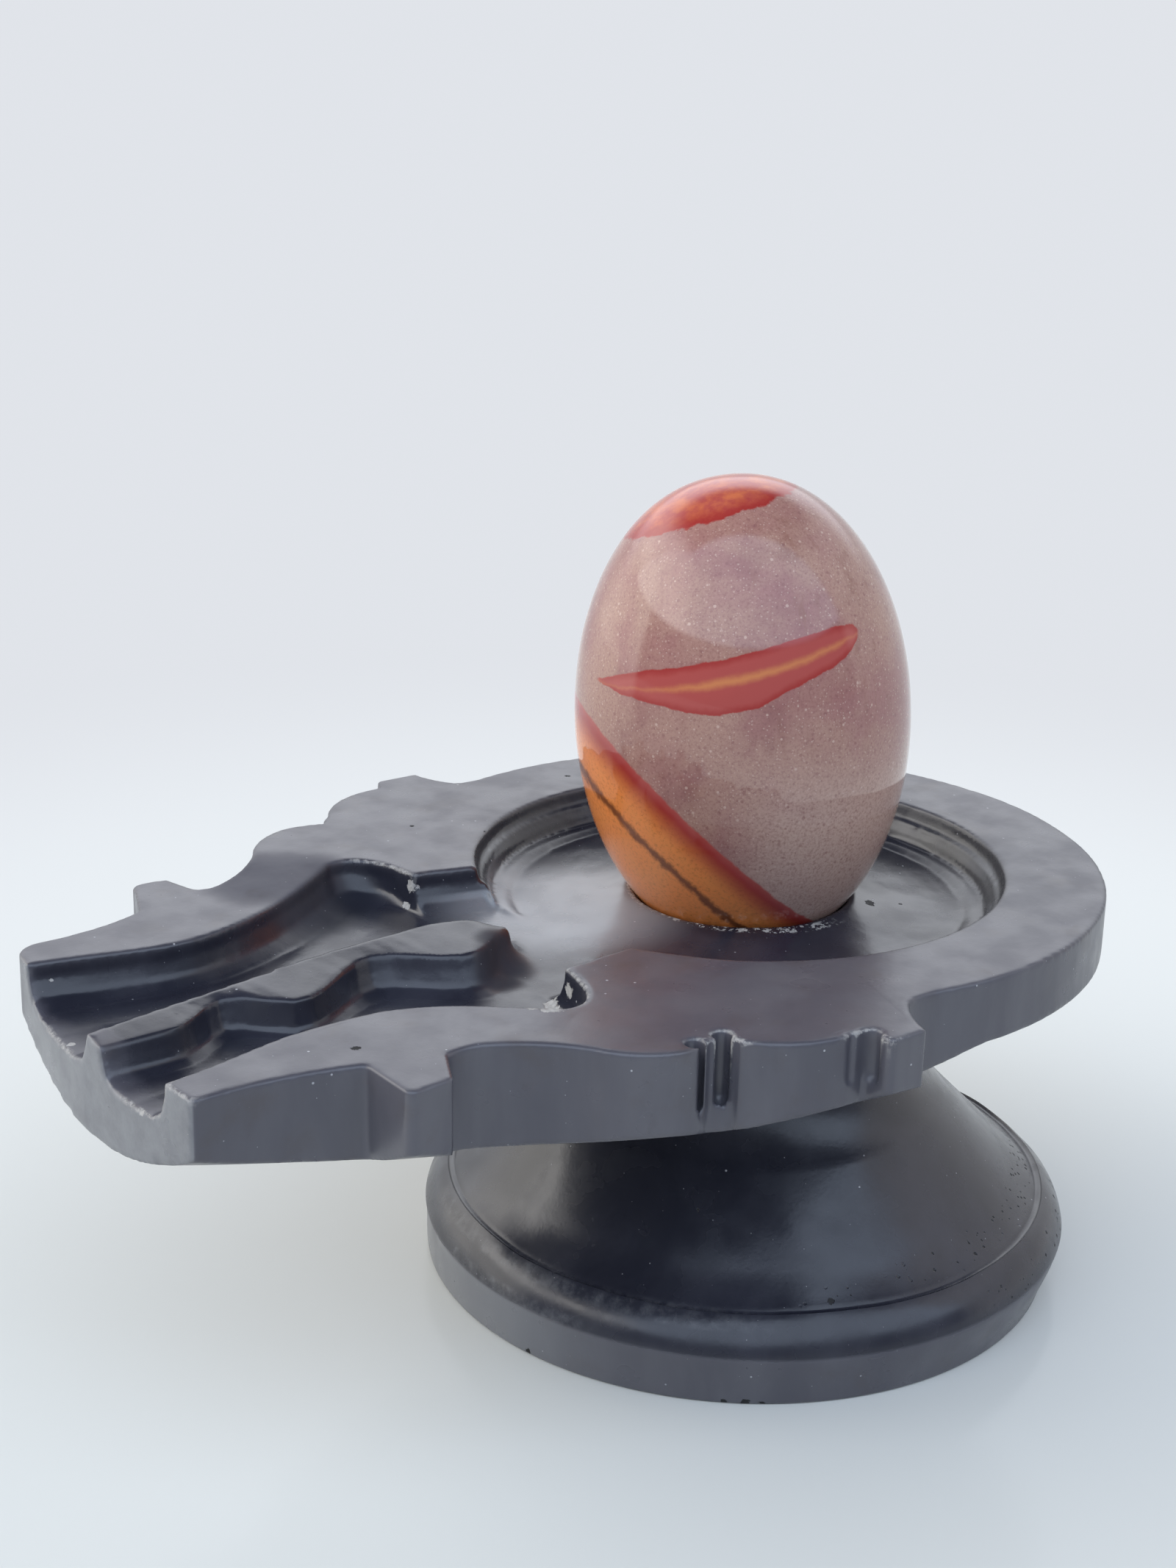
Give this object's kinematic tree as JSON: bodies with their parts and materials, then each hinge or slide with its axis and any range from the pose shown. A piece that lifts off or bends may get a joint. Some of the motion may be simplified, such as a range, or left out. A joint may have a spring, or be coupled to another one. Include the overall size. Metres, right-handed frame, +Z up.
{
  "type": "lingam stone on stand",
  "caption": "Egg-shaped polished banded stone seated in the round basin of a black cast plate with cusped edges, a spout and drain channels, on a flared round pedestal.",
  "frame": {"origin": "centre of the pedestal's flat foot, on the table", "axes": "+Z up along the pedestal's axis, the spout points along -X, Y across the plate"},
  "size_m": [0.1876, 0.1416, 0.1407],
  "materials": {
    "black_casting": "satin",
    "adhesive": "matte",
    "jasper": "polished"
  },
  "bodies": {
    "stand": {"pedestal": "black_casting", "adhesive_bed": "adhesive", "yoni_plate": "black_casting"},
    "stone": {"lingam_stone": "jasper"}
  },
  "joints": [
    {"name": "stone_lift", "type": "slide", "parent": "stand", "child": "stone", "axis": [0, 0, 1], "range_m": [0, 0.1]}
  ]
}
